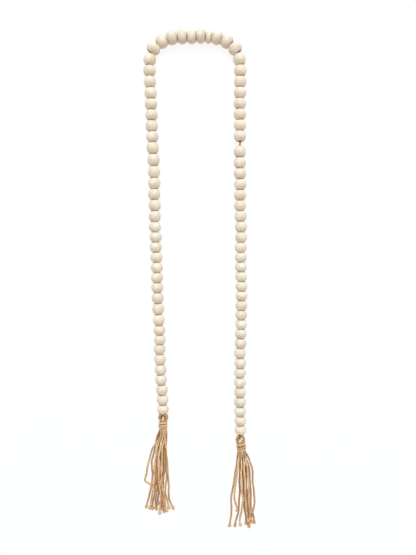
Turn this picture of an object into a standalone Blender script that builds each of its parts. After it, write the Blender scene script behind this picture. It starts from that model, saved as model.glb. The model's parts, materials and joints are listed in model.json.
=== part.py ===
"""A garland of round wooden beads on a jute twine, with a jute tassel at each end.

It lies flat in an upside-down U. Lengths here are in millimetres, and MM turns them to metres
where a mesh is made. +X points right, +Y from the tassels to the arch, and +Z up from the
surface that it rests on. The origin is on that surface, under the middle of the whole outline.
"""

import math
import random

import bmesh
import bpy
from mathutils import Vector

MM = 0.001
UP = Vector((0.0, 0.0, 1.0))

# The gap between pieces that touch on the real garland
CLEAR = 0.3
# Edges sharper than this, in degrees, stay sharp.
SHARP_ANGLE = 40.0

# Beads: a ball with its two ends cut off and a drilled hole
BEAD_WIDTH = 16.0
HOLE_WIDTH = 4.2
BEAD_SIDES = 12
HOLE_SIDES = BEAD_SIDES // 2
# Share of the bead's length, share of its radius. The middle band is straight, so a bead rests on a flat.
BEAD_PROFILE = ((0.0, 0.49), (0.18, 0.83), (0.39, 1.0), (0.61, 1.0), (0.82, 0.83), (1.0, 0.49))

# How the beads follow each other, from the left tassel over the arch to the right tassel. The
# beads beside the tassels are a little shorter.
END_BEAD_PITCH = 13.0
LEFT_STRAND = (
    {"beads": 1, "pitch": END_BEAD_PITCH},
    {"beads": 6, "pitch": 14.45},
    {"beads": 2, "pitch": 13.1},
    {"beads": 3, "pitch": 14.9},
    {"beads": 7, "pitch": 13.5},
    {"beads": 4, "pitch": 14.35},
    {"beads": 3, "pitch": 15.2},
    {"beads": 7, "pitch": 13.7},
)
ARCH_BEADS = (
    {"pitch": 14.9, "width": 16.2},
    {"pitch": 13.9, "width": 18.3},
    {"pitch": 14.2, "width": 17.5},
    {"pitch": 13.3, "width": 18.0},
    {"pitch": 12.6, "width": 17.8},
    {"pitch": 11.9, "width": 16.6},
    {"pitch": 11.5, "width": 18.2},
    {"pitch": 8.7, "width": 15.4},
    {"pitch": 12.7, "width": 17.5},
    {"pitch": 14.2, "width": 17.5},
    {"pitch": 14.0, "width": 18.0},
    {"pitch": 15.0, "width": 16.2},
)
ABOVE_BARE_TWINE = ({"beads": 7, "pitch": 13.6},)
BARE_TWINE = 6.0
BELOW_BARE_TWINE = (
    {"beads": 9, "pitch": 13.9},
    {"beads": 7, "pitch": 13.02},
    {"beads": 3, "pitch": 12.94},
    {"beads": 7, "pitch": 13.76},
    {"beads": 2, "pitch": 13.3},
    {"beads": 1, "pitch": END_BEAD_PITCH},
)
# Beads next to each other differ a little too.
PITCH_SPREAD = 0.02
PITCH_SEED = 5
# Beads in one solid: singles would be more pieces than a part of this kind can hold.
BEADS_IN_A_RUN = 2

# The stringing twine
TWINE_WIDTH = 2.7
# From the middle of an end knot to the twine's end and to the first bead
KNOT_TO_TWINE = 3.6
KNOT_TO_BEAD = 5.7

# How far a small bead can hang below the twine's middle
HOLE_PLAY = 0.6

# The twine's path through the beads, from knot to knot, half a bead above the surface
ROUTE = (
    (-50.1, -170.7, 8.0),
    (-50.6, -150.0, 8.0),
    (-52.3, -118.0, 8.0),
    (-53.9, -88.0, 8.0),
    (-53.8, -62.0, 8.0),
    (-55.3, -20.0, 8.0),
    (-56.2, 25.0, 8.0),
    (-57.5, 70.0, 8.0),
    (-58.6, 120.0, 8.0),
    (-59.0, 172.0, 8.0),
    (-60.4, 205.0, 8.0),
    (-61.9, 262.0, 8.0),
    (-63.2, 296.0, 8.0),
    (-62.6, 308.5, 8.7),
    (-56.6, 319.2, 9.0),
    (-46.6, 326.6, 8.8),
    (-27.0, 332.0, 8.9),
    (-8.6, 332.3, 8.5),
    (4.0, 333.0, 8.8),
    (23.4, 331.0, 8.7),
    (36.2, 326.4, 8.8),
    (46.9, 318.4, 9.0),
    (52.2, 308.5, 8.7),
    (53.5, 296.0, 8.0),
    (53.6, 266.0, 8.0),
    (52.9, 240.0, 8.0),
    (53.8, 204.0, 8.0),
    (53.2, 186.0, 8.0),
    (54.4, 149.0, 8.0),
    (53.9, 122.0, 8.0),
    (56.0, 82.0, 8.0),
    (55.4, 60.0, 8.0),
    (56.6, 26.0, 8.0),
    (56.9, -34.0, 8.0),
    (56.1, -64.0, 8.0),
    (55.9, -115.0, 8.0),
    (56.5, -160.0, 8.0),
    (57.1, -202.0, 8.0),
)
ROUTE_STEPS = 16

# End knots, and the room that the tassel's head leaves round them
KNOT_RADIUS = 3.3
KNOT_LUMP = 0.045
KNOT_ROOM = 3.95
TWINE_ROOM = 2.0
ROOM_ANGLES = (-60.0, -30.0, 0.0)
SHAFT_HEIGHT = 3 * KNOT_ROOM
MOUTH_REACH = 2.0

# Strands: square in section and flat on the surface, with a thick tip. Each tip row is how far
# it lies from the strand's end and the half thickness there.
STRAND_HALF = 1.15
STRAND_TIP = ((5.0, STRAND_HALF), (2.0, 1.9), (0.0, 1.6))
LEVEL_STEP = 2.6
STATION_STEP = 12.0
ROOT_DEPTH = 7.0
ROOT_HEIGHT = 5.0
ROOT_SHARE = 0.6
# Each strand lies this much higher than the one before, so that no two faces share a plane.
STRAND_LIFT = 0.03

# Bindings
BINDING_TURNS = 3
BINDING_THICK = 2.0
BINDING_VALLEY = 1.3
BINDING_SIDES = 14
BINDING_LEAN = 0.6
BINDING_CREST = (0.28, 0.72)
CORE_SIDES = 16
RIB = 0.06
ROOT_RIB = 0.08

# Each core row is a section of the tassel's head, neck and root. along is measured down the
# tassel from the head's top, and across, half_width, half_height and height say where it is.
CORE_COLUMNS = ("along", "across", "half_width", "half_height", "height", "rib")
# Each strand row has across at every station down the skirt, the level it lies on there
# (0 on the surface, 1 on a strand, 2 on two), and the tail that ends in its tip.
STRAND_COLUMNS = ("across", "level", "tail")

LEFT_TASSEL = {
    "name": "left",
    "head_top": (-50.1, -165.3),
    "lean": 0.0,
    "neck": 3.4,
    "neck_height": 6.0,
    "binding": (10.6, 21.0),
    "first_station": 13.7,
    "core": (
        (0.0, 0.0, 3.2, 3.2, 8.0, 0.0),
        (1.2, 0.0, 5.2, 5.0, 7.8, RIB),
        (4.0, 0.0, 6.8, 6.6, 7.0, RIB),
        (7.2, 0.0, 6.5, 6.4, 6.8, RIB),
        (9.4, 0.0, 4.6, 4.6, 6.2, 0.0),
        (10.3, 0.0, 3.4, 3.4, 6.0, 0.0),
        (21.3, 0.0, 3.4, 3.4, 6.0, 0.0),
        (22.9, -0.3, 4.4, 4.0, 5.2, ROOT_RIB),
        (28.7, -1.4, 6.0, 3.9, 4.5, ROOT_RIB),
        (33.4, -2.2, 6.9, 3.8, 4.3, ROOT_RIB),
    ),
    "strands": (
        (
            (-9.0, -12.1, -14.8, -17.3, -17.2, -16.9, -17.8, -20.8, -23.5),
            (0, 0, 0, 0, 0, 0, 1, 0.4, 0),
            ((-26.1, 122.0),),
        ),
        (
            (-6.8, -8.3, -9.1, -10.3, -10.7, -11.0, -12.5, -13.8, -15.9),
            (0, 0, 0, 0, 0, 0, 0, 0, 0),
            ((-18.0, 124.6),),
        ),
        (
            (-4.7, -12.6, -18.3, -21.0, -23.7, -26.4),
            (2, 1.2, 0, 0, 0, 0),
            ((-27.7, 79.4), (-20.2, 85.4), (-15.1, 89.1), (-12.6, 95.9), (-12.5, 108.7), (-13.2, 122.7)),
        ),
        (
            (-3.8, -7.7, -10.5, -12.8, -13.5, -13.5, -15.1, -16.6, -19.4),
            (1, 1, 1, 1, 1, 1, 1.3, 1, 0),
            ((-20.8, 123.8),),
        ),
        (
            (-4.9, -6.5, -8.0, -8.7, -9.3, -9.8, -10.0, -11.0, -11.7),
            (0, 0, 0, 0, 0, 0, 0.4, 1, 1),
            ((-10.8, 123.8),),
        ),
        (
            (-2.7, -3.2, -4.3, -5.2, -5.3, -5.4, -7.5, -8.4, -9.1),
            (0, 0, 0, 0, 0, 0, 0, 0, 0),
            ((-9.2, 117.7),),
        ),
        (
            (-0.9, -3.9, -6.6, -7.6, -7.3, -7.6, -6.6, -5.4, -5.8),
            (1.8, 1.8, 1.3, 1, 1, 1, 1, 1, 1),
            ((-6.5, 129.9),),
        ),
        (
            (-0.7, -0.6, -0.8, -0.9, -1.2, -1.9, -4.0, -4.1, -4.1),
            (0, 0, 0, 0, 0, 0, 0, 0, 0),
            ((-3.3, 125.3),),
        ),
        (
            (1.2, -0.8, -2.4, -2.8, -3.6, -3.7, -2.7, -0.7, 0.6),
            (1, 1, 1, 1, 1, 1, 1, 1, 1),
            ((4.1, 126.1),),
        ),
        (
            (1.2, 1.5, 1.0, 1.2, 0.9, -0.5, -1.6, -2.7, -2.4),
            (0, 0.5, 1, 1, 1, 0.8, 0, 0, 0),
            ((-0.3, 129.1),),
        ),
        (
            (2.5, 2.2, 2.1, 2.6, 2.9, 3.2, 2.4, 1.5, 3.4),
            (1, 1, 0, 0, 0, 0, 0, 0, 0),
            ((7.0, 122.9),),
        ),
        (
            (3.6, 3.0, 3.3, 4.0, 4.9, 5.7, 6.1, 6.2, 7.4),
            (0, 0, 0.6, 0.6, 0.6, 0.6, 0.6, 0.6, 0),
            ((13.0, 123.8),),
        ),
    ),
}

RIGHT_TASSEL = {
    "name": "right",
    "head_top": (56.5, -196.6),
    "lean": math.radians(6.0),
    "neck": 4.5,
    "neck_height": 6.9,
    "binding": (10.7, 21.9),
    "first_station": 15.6,
    "core": (
        (0.0, 0.0, 3.2, 3.2, 8.0, 0.0),
        (1.2, 0.0, 5.0, 5.0, 7.8, RIB),
        (4.1, 0.0, 6.6, 6.6, 7.0, RIB),
        (7.2, 0.0, 6.5, 6.5, 6.9, RIB),
        (9.5, 0.0, 5.2, 5.2, 6.9, 0.0),
        (10.4, 0.0, 4.5, 4.5, 6.9, 0.0),
        (22.2, 0.0, 4.5, 4.5, 6.9, 0.0),
        (23.9, 0.2, 5.4, 4.6, 6.0, ROOT_RIB),
        (29.3, 0.6, 6.4, 4.0, 4.7, ROOT_RIB),
        (34.3, 1.0, 7.6, 3.8, 4.3, ROOT_RIB),
    ),
    "strands": (
        (
            (-6.0, -6.6, -8.6, -10.6, -12.1, -13.7, -13.7, -13.5, -15.0),
            (0, 0, 0, 0, 0, 0, 0, 0, 0),
            ((-16.4, 118.3),),
        ),
        (
            (-3.4, -4.2, -5.7, -7.7, -8.6, -8.8),
            (1, 1, 0, 0, 0, 0),
            ((-6.6, 86.0), (-5.4, 89.8), (-7.1, 94.6)),
        ),
        (
            (-2.0, -1.7, -1.8, -1.9, -1.8, -2.1, -2.9, -4.4, -7.2),
            (0, 0, 0, 0, 0, 0, 0, 0, 0),
            ((-8.2, 118.4),),
        ),
        (
            (0.2, 0.2, 0.1, 0.4, 1.2, 2.7, 1.9, -0.2, -0.9),
            (1, 1, 1, 1, 1, 1, 0.6, 0, 0),
            ((0.2, 117.2),),
        ),
        (
            (1.2, 2.2, 2.7, 3.3, 4.1, 4.2, 5.2, 6.7, 8.0),
            (0, 0, 0, 0, 0, 0, 0, 0, 0),
            ((8.8, 115.1),),
        ),
        (
            (3.3, 4.0, 5.0, 5.8, 6.2, 6.3, 7.4, 8.8),
            (1, 1, 1, 1, 1, 1, 1, 1),
            ((10.4, 110.0),),
        ),
        (
            (4.2, 6.0, 7.3, 7.7, 8.1, 8.6, 9.8, 10.9, 11.5),
            (0, 0, 0, 0, 0, 0, 0, 0, 0),
            ((12.8, 119.8),),
        ),
        (
            (6.6, 8.8, 10.0, 10.7, 11.0, 11.3, 12.0),
            (1, 1, 1, 1, 1, 1, 1),
            ((13.0, 99.0), (13.4, 107.0)),
        ),
        (
            (7.5, 10.8, 12.2, 13.2, 13.7, 14.2, 14.9, 17.6, 19.6),
            (0, 0, 0, 0, 0, 0, 0.9, 1, 0),
            ((19.9, 113.6),),
        ),
        (
            (11.0, 15.1, 16.4, 17.0, 18.2, 19.8, 18.6, 16.2, 14.4),
            (0, 0, 0, 0, 0, 0, 0, 0, 0),
            ((14.4, 113.4),),
        ),
    ),
}


def clear_scene():
    for obj in list(bpy.data.objects):
        bpy.data.objects.remove(obj, do_unlink=True)


def finish(name, colour, roughness):
    material = bpy.data.materials.new(name)
    material.use_nodes = True
    shader = material.node_tree.nodes["Principled BSDF"]
    shader.inputs["Base Color"].default_value = (*colour, 1.0)
    shader.inputs["Roughness"].default_value = roughness
    return material


def add_object(name, mesh, material):
    obj = bpy.data.objects.new(name, mesh)
    bpy.context.scene.collection.objects.link(obj)
    mesh.materials.append(material)
    return obj


def closed_mesh(name, rings, faces):
    """A mesh from rings of points, with faces given as tuples of indices into all the points."""
    shape = bmesh.new()
    corners = [shape.verts.new(point * MM) for ring in rings for point in ring]
    for face in faces:
        shape.faces.new([corners[i] for i in face])
    bmesh.ops.recalc_face_normals(shape, faces=shape.faces)
    mesh = bpy.data.meshes.new(name)
    shape.to_mesh(mesh)
    shape.free()
    mesh.shade_smooth()
    mesh.set_sharp_from_angle(angle=math.radians(SHARP_ANGLE))
    return mesh


def bands(count, sides, first=0):
    """Quads between rings that follow each other, each with this many sides."""
    return [
        (
            first + ring * sides + side,
            first + ring * sides + (side + 1) % sides,
            first + (ring + 1) * sides + (side + 1) % sides,
            first + (ring + 1) * sides + side,
        )
        for ring in range(count - 1)
        for side in range(sides)
    ]


def smooth_route(points, steps):
    """Points along a Catmull-Rom curve through the given ones, with how far along each lies."""
    line = [Vector(point) for point in points]
    padded = [2 * line[0] - line[1], *line, 2 * line[-1] - line[-2]]
    curve = []
    for a, b, c, d in zip(padded, padded[1:], padded[2:], padded[3:]):
        for step in range(steps):
            t = step / steps
            curve.append(
                0.5 * (2 * b + (c - a) * t + (2 * a - 5 * b + 4 * c - d) * t**2 + (3 * b - a - 3 * c + d) * t**3)
            )
    curve.append(line[-1])
    reach = [0.0]
    for start, end in zip(curve, curve[1:]):
        reach.append(reach[-1] + (end - start).length)
    return curve, reach


def point_along(route, distance):
    curve, reach = route
    for i, far in enumerate(reach[1:]):
        if distance <= far:
            share = (distance - reach[i]) / (far - reach[i])
            return curve[i].lerp(curve[i + 1], share)
    return curve[-1].copy()


def uneven(sections, draws):
    """Pitch and width of each bead: the pitches differ a little, and each section keeps its length."""
    beads = []
    for section in sections:
        spread = [draws.uniform(-1.0, 1.0) for _ in range(section["beads"])]
        middle = sum(spread) / len(spread)
        beads += [(section["pitch"] * (1.0 + PITCH_SPREAD * (value - middle)), BEAD_WIDTH) for value in spread]
    return beads


def bead_strings():
    """Two strings of beads, before and after the bare twine."""
    draws = random.Random(PITCH_SEED)
    arch = [(row["pitch"], row["width"]) for row in ARCH_BEADS]
    first = uneven(LEFT_STRAND, draws) + arch + uneven(ABOVE_BARE_TWINE, draws)
    return first, uneven(BELOW_BARE_TWINE, draws)


def place_string(beads, route, start):
    """Each bead's two end points and width, and how far along the route the string ends."""
    placed = []
    for pitch, width in beads:
        placed.append((point_along(route, start), point_along(route, start + pitch), width))
        start += pitch
    return placed, start


def ring(centre, along, radius, sides, turn):
    """A ring of points square to along. turn is in sides, and half a side puts a flat below."""
    upward = (UP - along * UP.dot(along)).normalized()
    across = along.cross(upward)
    angles = [2 * math.pi * (i + turn) / sides for i in range(sides)]
    return [centre + radius * (math.cos(a) * across + math.sin(a) * upward) for a in angles]


def end_directions(placed):
    """The way that the string runs at each bead's ends: the mean of the two beads that meet there."""
    own = [(end - start).normalized() for start, end, _ in placed]
    return [own[0], *((a + b).normalized() for a, b in zip(own, own[1:])), own[-1]]


def bead_run_mesh(name, beads, directions):
    """Neighbouring beads as one solid of revolution with a hole through it."""
    outer, inner = [], []
    grow = 1.0 / math.cos(math.pi / BEAD_SIDES)
    last = len(beads) - 1
    for number, (start, end, width) in enumerate(beads):
        ends = [start, end]
        if number == 0:
            ends[0] = start + directions[0] * CLEAR / 2
        if number == last:
            ends[1] = end - directions[-1] * CLEAR / 2
        own = (end - start).normalized()
        middle = (start + end) / 2
        for share, radius in BEAD_PROFILE:
            if share == 0.0 and number > 0:
                continue
            along = {0.0: directions[number], 1.0: directions[number + 1]}.get(share, own)
            centre = ends[0].lerp(ends[1], share)
            centre.z = max(width / 2, middle.z - HOLE_PLAY)
            outer.append(ring(centre, along, radius * width / 2 * grow, BEAD_SIDES, 0.5))
        if number == 0:
            inner.append(ring(ends[0], directions[0], HOLE_WIDTH / 2, HOLE_SIDES, 0.5))
        inner.append(ring(ends[1], directions[number + 1], HOLE_WIDTH / 2, HOLE_SIDES, 0.5))
    hole = len(outer) * BEAD_SIDES
    faces = bands(len(outer), BEAD_SIDES) + bands(len(inner), HOLE_SIDES, hole)
    for rim, mouth in ((0, hole), (hole - BEAD_SIDES, hole + (len(inner) - 1) * HOLE_SIDES)):
        for i in range(HOLE_SIDES):
            after = (i + 1) % HOLE_SIDES
            faces.append((mouth + i, rim + 2 * i, rim + 2 * i + 1))
            faces.append((mouth + i, rim + 2 * i + 1, rim + 2 * after, mouth + after))
    return closed_mesh(name, outer + inner, faces)


def build_beads(placed, first_number, material):
    directions = end_directions(placed)
    number = first_number
    for start in range(0, len(placed), BEADS_IN_A_RUN):
        run = placed[start : start + BEADS_IN_A_RUN]
        name = f"beads_{number:02d}"
        mesh = bead_run_mesh(name, run, directions[start : start + len(run) + 1])
        add_object(name, mesh, material)
        number += 1
    return number


def build_twine(points, material):
    """The stringing twine, from knot to knot, straight through each bead."""
    curve = bpy.data.curves.new("cord", "CURVE")
    curve.dimensions = "3D"
    spline = curve.splines.new("POLY")
    spline.points.add(len(points) - 1)
    for target, point in zip(spline.points, points):
        target.co = (*(point * MM), 1.0)
    curve.bevel_depth = TWINE_WIDTH / 2 * MM
    # This gives the twine six sides.
    curve.bevel_resolution = 1
    curve.use_fill_caps = True
    obj = bpy.data.objects.new("cord", curve)
    bpy.context.scene.collection.objects.link(obj)
    curve.materials.append(material)


def tassel_point(tassel, along, across, height):
    """A point down the tassel's head and neck, which may lean to one side."""
    x, y = tassel["head_top"]
    sine, cosine = math.sin(tassel["lean"]), math.cos(tassel["lean"])
    return Vector((x + along * sine + across * cosine, y - along * cosine + across * sine, height))


def skirt_point(tassel, along, across, height):
    """A point in the skirt, which hangs straight down from the binding's lower edge."""
    top = tassel_point(tassel, tassel["binding"][1], 0.0, 0.0)
    return Vector((top.x + across, top.y - along, height))


def core_mesh(tassel):
    rings = []
    for values in tassel["core"]:
        row = dict(zip(CORE_COLUMNS, values))
        points = []
        for i in range(CORE_SIDES):
            angle = 2 * math.pi * i / CORE_SIDES
            swell = 1.0 + row["rib"] * (-1) ** i
            across = row["across"] + swell * row["half_width"] * math.cos(angle)
            height = row["height"] + swell * row["half_height"] * math.sin(angle)
            points.append(tassel_point(tassel, row["along"], across, height))
        rings.append(points)
    last = (len(rings) - 1) * CORE_SIDES
    caps = [tuple(range(CORE_SIDES)), tuple(range(last, last + CORE_SIDES))]
    return closed_mesh("core", rings, bands(len(rings), CORE_SIDES) + caps)


def strand_points(tassel, strand, lift):
    """The strand's route with its half thickness at each point, root first."""
    row = dict(zip(STRAND_COLUMNS, strand))
    heights = [lift + STRAND_HALF + LEVEL_STEP * value for value in row["level"]]
    first = row["across"][0]
    points = [skirt_point(tassel, ROOT_DEPTH, first * ROOT_SHARE, (heights[0] + ROOT_HEIGHT) / 2)]
    for number, (across, height) in enumerate(zip(row["across"], heights)):
        along = tassel["first_station"] + number * STATION_STEP
        points.append(skirt_point(tassel, along, across, height))
    last_level = row["level"][-1] if row["level"][-1] >= 1 else 0.0
    for across, along in row["tail"]:
        points.append(skirt_point(tassel, along, across, lift + STRAND_HALF + LEVEL_STEP * last_level))
    tip = points.pop()
    back = (points[-1] - tip).normalized()
    rows = [(point, STRAND_HALF) for point in points]
    for far, half in STRAND_TIP:
        place = tip + back * far
        place.z = tip.z + half - STRAND_HALF
        rows.append((place, half))
    return rows


def strand_mesh(tassel, strand, lift):
    points = strand_points(tassel, strand, lift)
    rings = []
    for i, (point, half) in enumerate(points):
        before = points[max(i - 1, 0)][0]
        after = points[min(i + 1, len(points) - 1)][0]
        onward = (after - before).to_2d().normalized()
        side = Vector((-onward.y, onward.x, 0.0))
        corners = ((-1, -1), (1, -1), (1, 1), (-1, 1))
        rings.append([point + half * (a * side + b * UP) for a, b in corners])
    last = (len(rings) - 1) * 4
    caps = [(0, 1, 2, 3), tuple(range(last, last + 4))]
    return closed_mesh("strand", rings, bands(len(rings), 4) + caps)


def room_mesh(radius, sides=12):
    """A round-bottomed shaft, open upwards: its middle is at the origin."""
    rings = []
    for angle in ROOM_ANGLES:
        size = radius * math.cos(math.radians(angle))
        height = radius * math.sin(math.radians(angle))
        rings.append([Vector((size * math.cos(a), size * math.sin(a), height)) for a in turns(sides)])
    rings.append([Vector((radius * math.cos(a), radius * math.sin(a), SHAFT_HEIGHT)) for a in turns(sides)])
    last = (len(rings) - 1) * sides
    caps = [tuple(range(sides)), tuple(range(last, last + sides))]
    return closed_mesh("room", rings, bands(len(rings), sides) + caps)


def turns(sides):
    return [2 * math.pi * i / sides for i in range(sides)]


def rod_mesh(start, end, radius, sides=8):
    along = (end - start).normalized()
    rings = [ring(start, along, radius, sides, 0.5), ring(end, along, radius, sides, 0.5)]
    caps = [tuple(range(sides)), tuple(range(sides, 2 * sides))]
    return closed_mesh("rod", rings, bands(2, sides) + caps)


def combine(target, mesh, operation, material):
    """A Boolean of the target with this mesh, which stays as a hidden helper."""
    helper = add_object(f"{target.name}_{operation.lower()}", mesh, material)
    helper.hide_render = True
    helper.display_type = "WIRE"
    step = target.modifiers.new(helper.name, "BOOLEAN")
    step.operation = operation
    step.object = helper
    return helper


def build_tassel(tassel, material):
    """Head, neck and skirt in one solid, with room for the knot and the twine."""
    name = f"tassel_{tassel['name']}"
    obj = add_object(name, core_mesh(tassel), material)
    knot = knot_centre(tassel)
    room = combine(obj, room_mesh(KNOT_ROOM), "DIFFERENCE", material)
    room.location = knot * MM
    mouth = tassel_point(tassel, -MOUTH_REACH, 0.0, knot.z)
    combine(obj, rod_mesh(mouth, knot, TWINE_ROOM), "DIFFERENCE", material)
    for number, strand in enumerate(tassel["strands"]):
        combine(obj, strand_mesh(tassel, strand, number * STRAND_LIFT), "UNION", material)


def knot_centre(tassel):
    depth = KNOT_TO_BEAD - CLEAR
    return tassel_point(tassel, depth, 0.0, BEAD_WIDTH / 2)


def build_knot(tassel, material, sides=12, rows=8):
    """A lumpy ball, with ridges that run slantwise as the twine does in a knot."""
    shape = bmesh.new()
    bmesh.ops.create_uvsphere(shape, u_segments=sides, v_segments=rows, radius=1.0)
    for corner in shape.verts:
        place = corner.co
        around = math.atan2(place.y, place.x)
        swell = 1.0 + KNOT_LUMP * math.cos(2 * around + 3.0 * place.z)
        corner.co = place * swell * KNOT_RADIUS * MM
    mesh = bpy.data.meshes.new("knot")
    shape.to_mesh(mesh)
    shape.free()
    mesh.shade_smooth()
    obj = add_object(f"knot_{tassel['name']}", mesh, material)
    obj.location = knot_centre(tassel) * MM
    obj.rotation_euler.z = tassel["lean"]


def build_binding(tassel, material):
    """A band of a few turns of twine round the neck, with a ridge for each turn."""
    start, end = tassel["binding"]
    inner = tassel["neck"] + CLEAR
    valley, crest = inner + BINDING_VALLEY, inner + BINDING_THICK
    shares = [(0.0, inner), (0.0, valley)]
    for turn in range(BINDING_TURNS):
        shares += [((turn + part) / BINDING_TURNS, crest) for part in BINDING_CREST]
        shares.append(((turn + 1.0) / BINDING_TURNS, valley))
    shares.append((1.0, inner))
    rings = []
    for share, radius in shares:
        lean = BINDING_LEAN * math.sin(math.pi * share)
        points = []
        for angle in turns(BINDING_SIDES):
            along = start + (end - start) * share + lean * math.cos(angle)
            height = tassel["neck_height"] + radius * math.sin(angle)
            points.append(tassel_point(tassel, along, radius * math.cos(angle), height))
        rings.append(points)
    count = len(rings)
    faces = bands(count, BINDING_SIDES)
    close = (count - 1) * BINDING_SIDES
    for side in range(BINDING_SIDES):
        after = (side + 1) % BINDING_SIDES
        faces.append((close + side, close + after, after, side))
    name = f"binding_{tassel['name']}"
    add_object(name, closed_mesh(name, rings, faces), material)


def main():
    clear_scene()
    wood = finish("pale_wood", (0.82, 0.71, 0.55), 0.55)
    twine = finish("jute_twine", (0.55, 0.35, 0.17), 0.9)
    knot_twine = finish("knotted_jute", (0.62, 0.42, 0.23), 0.9)
    tassel_twine = finish("jute_strands", (0.57, 0.37, 0.19), 0.9)
    binding_twine = finish("binding_jute", (0.58, 0.4, 0.24), 0.9)

    route = smooth_route(ROUTE, ROUTE_STEPS)
    first_string, second_string = bead_strings()
    first, reach = place_string(first_string, route, KNOT_TO_BEAD)
    second, _ = place_string(second_string, route, reach + BARE_TWINE)
    number = build_beads(first, 1, wood)
    build_beads(second, number, wood)

    points = [point_along(route, KNOT_TO_TWINE)]
    for string in (first, second):
        points += [string[0][0], *(end for _, end, _ in string)]
    points.append(point_along(route, route[1][-1] - KNOT_TO_TWINE))
    build_twine(points, twine)
    for tassel in (LEFT_TASSEL, RIGHT_TASSEL):
        build_tassel(tassel, tassel_twine)
        build_binding(tassel, binding_twine)
        build_knot(tassel, knot_twine)


main()
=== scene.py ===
"""Looks of a garland of round wooden beads on jute twine, with a jute tassel at each end.

Lengths are in millimetres, and MM turns them to metres where a mesh is made. +X points right,
+Y from the tassels to the arch, and +Z up from the surface that the garland lies on.
"""

import json
import math
import random

import bmesh
import bpy
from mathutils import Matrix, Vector

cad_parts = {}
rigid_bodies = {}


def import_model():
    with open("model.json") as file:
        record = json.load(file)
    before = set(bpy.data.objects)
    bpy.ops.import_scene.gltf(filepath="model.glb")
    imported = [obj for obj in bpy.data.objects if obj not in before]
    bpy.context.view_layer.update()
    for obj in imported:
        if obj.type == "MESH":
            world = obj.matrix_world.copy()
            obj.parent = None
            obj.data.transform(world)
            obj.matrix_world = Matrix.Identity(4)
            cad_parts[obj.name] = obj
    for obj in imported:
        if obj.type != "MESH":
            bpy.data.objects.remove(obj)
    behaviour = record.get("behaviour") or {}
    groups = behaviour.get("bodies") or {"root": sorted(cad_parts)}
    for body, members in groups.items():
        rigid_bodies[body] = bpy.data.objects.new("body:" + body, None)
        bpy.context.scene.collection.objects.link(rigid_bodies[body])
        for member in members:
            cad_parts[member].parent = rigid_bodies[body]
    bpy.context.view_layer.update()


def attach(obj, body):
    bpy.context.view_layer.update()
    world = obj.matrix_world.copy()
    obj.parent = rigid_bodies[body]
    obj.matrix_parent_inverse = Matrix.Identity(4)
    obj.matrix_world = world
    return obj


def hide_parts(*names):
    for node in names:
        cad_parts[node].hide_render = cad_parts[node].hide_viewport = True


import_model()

MM = 0.001
UP = Vector((0.0, 0.0, 1.0))
BODY = "root"

# The camera looks down on the garland, a little tilted towards the tassels.
CAMERA_PLACE = (12.0, 94.0, 648.0)
CAMERA_TILT = math.atan(0.109)
PICTURE_HEIGHT = 555
FOCAL_PIXELS = 480.0
SENSOR_HEIGHT = 36.0
NEAREST_SEEN = 10.0

# Beads are drilled, and sit a hair apart, and where the string bends they give way by a share of
# their faces. A ball has its two ends cut off. A disc is shorter, with round shoulders. Each is turned
# to the common width, and its mesh is stretched to its place.
BEAD_WIDTH = 16.0
HOLE_WIDTH = 4.2
TOUCH = 0.2
FACE_GIVE = 0.25
SHOULDER = 0.5
# The ends of each bead are browner this far in: the sawn end grain, and painted shade where one bead meets
# the next.
SAWN_AND_SHADE_DEPTH = 0.8
# The hole's lip is round, and the hole's wall starts this far below it.
LIP = 0.35
LIP_ANGLES = (0.0, 30.0, 60.0, 90.0)
LIP_TO_WALL = 2.0
# Where the points of the side lie, as shares of the way from the middle to the face
SIDE_SHARES = (0.985, 0.93, 0.84, 0.73, 0.61, 0.48, 0.34, 0.2, 0.07)
BEAD_SIDES = 36
MERGE_WITHIN = 0.001
SHAPES = {
    "ball": {"face": 4.6, "length": 13.1, "power": 0.0},
    "disc": {"face": 3.7, "length": 11.4, "power": 2.15},
}

# How the beads follow each other, from the left tassel over the arch to the right tassel: so many
# beads at this pitch, then the next. The beads beside the tassels are shorter.
END_BEAD_PITCH = 13.0
LEFT_STRAND = (
    (1, END_BEAD_PITCH), (6, 14.2), (2, 13.1), (3, 14.9),
    (7, 13.5), (4, 14.35), (3, 15.2), (7, 13.7),
)
ARCH_COLUMNS = ("pitch", "width", "aside", "shape")
ARCH_BEADS = (
    (14.9, 16.2, 0.0, "ball"), (13.9, 18.3, 0.0, "ball"), (14.2, 17.5, 0.0, "ball"),
    (13.3, 18.0, 0.0, "disc"), (12.6, 17.8, 0.0, "disc"), (11.9, 16.6, -0.6, "disc"),
    (11.5, 18.2, 0.0, "disc"), (8.7, 15.4, -0.6, "disc"), (12.7, 17.5, 0.0, "disc"),
    (14.2, 17.5, 0.0, "ball"), (14.0, 18.0, 0.0, "ball"), (15.0, 16.2, 0.0, "ball"),
)
ABOVE_BARE_TWINE = ((7, 13.6),)
BARE_TWINE = 6.0
BELOW_BARE_TWINE = (
    (9, 13.9), (7, 13.02), (3, 12.94),
    (7, 13.76), (2, 13.3), (1, END_BEAD_PITCH),
)
PITCH_SPREAD = 0.02
PITCH_SEED = 5
# Beads sit a little to one side of the twine's line, and each by another amount.
BEAD_JOG = 0.3
BEAD_LEAN = 0.03
BEAD_LIFT = 0.2
JOG_SEED = 11
# Each bead has shallow hollows, this wide and this deep, and its own place in the grain of the log.
HOLLOW_SIZE = 6.25
UNEVENNESS = 0.35
GRAIN_SHIFT = 90.0
BEAD_SEED = 20

# Each of the frame's bead solids holds this many beads, and each piece stands for the solids from
# its first number to its last.
BEADS_IN_A_RUN = 2
BEAD_PIECES = (
    ("beads_left_strand", 1, 17),
    ("beads_arch", 18, 22),
    ("beads_right_upper", 23, 26),
    ("beads_right_lower", 27, 41),
)

# The stringing twine, which starts inside the knot
TWINE_WIDTH = 2.7
KNOT_TO_TWINE = 1.8
KNOT_TO_BEAD = 5.7
TWINE_ROWS = 700
TWINE_SHADE = 0.5
TWINE_SEED = 1

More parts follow.
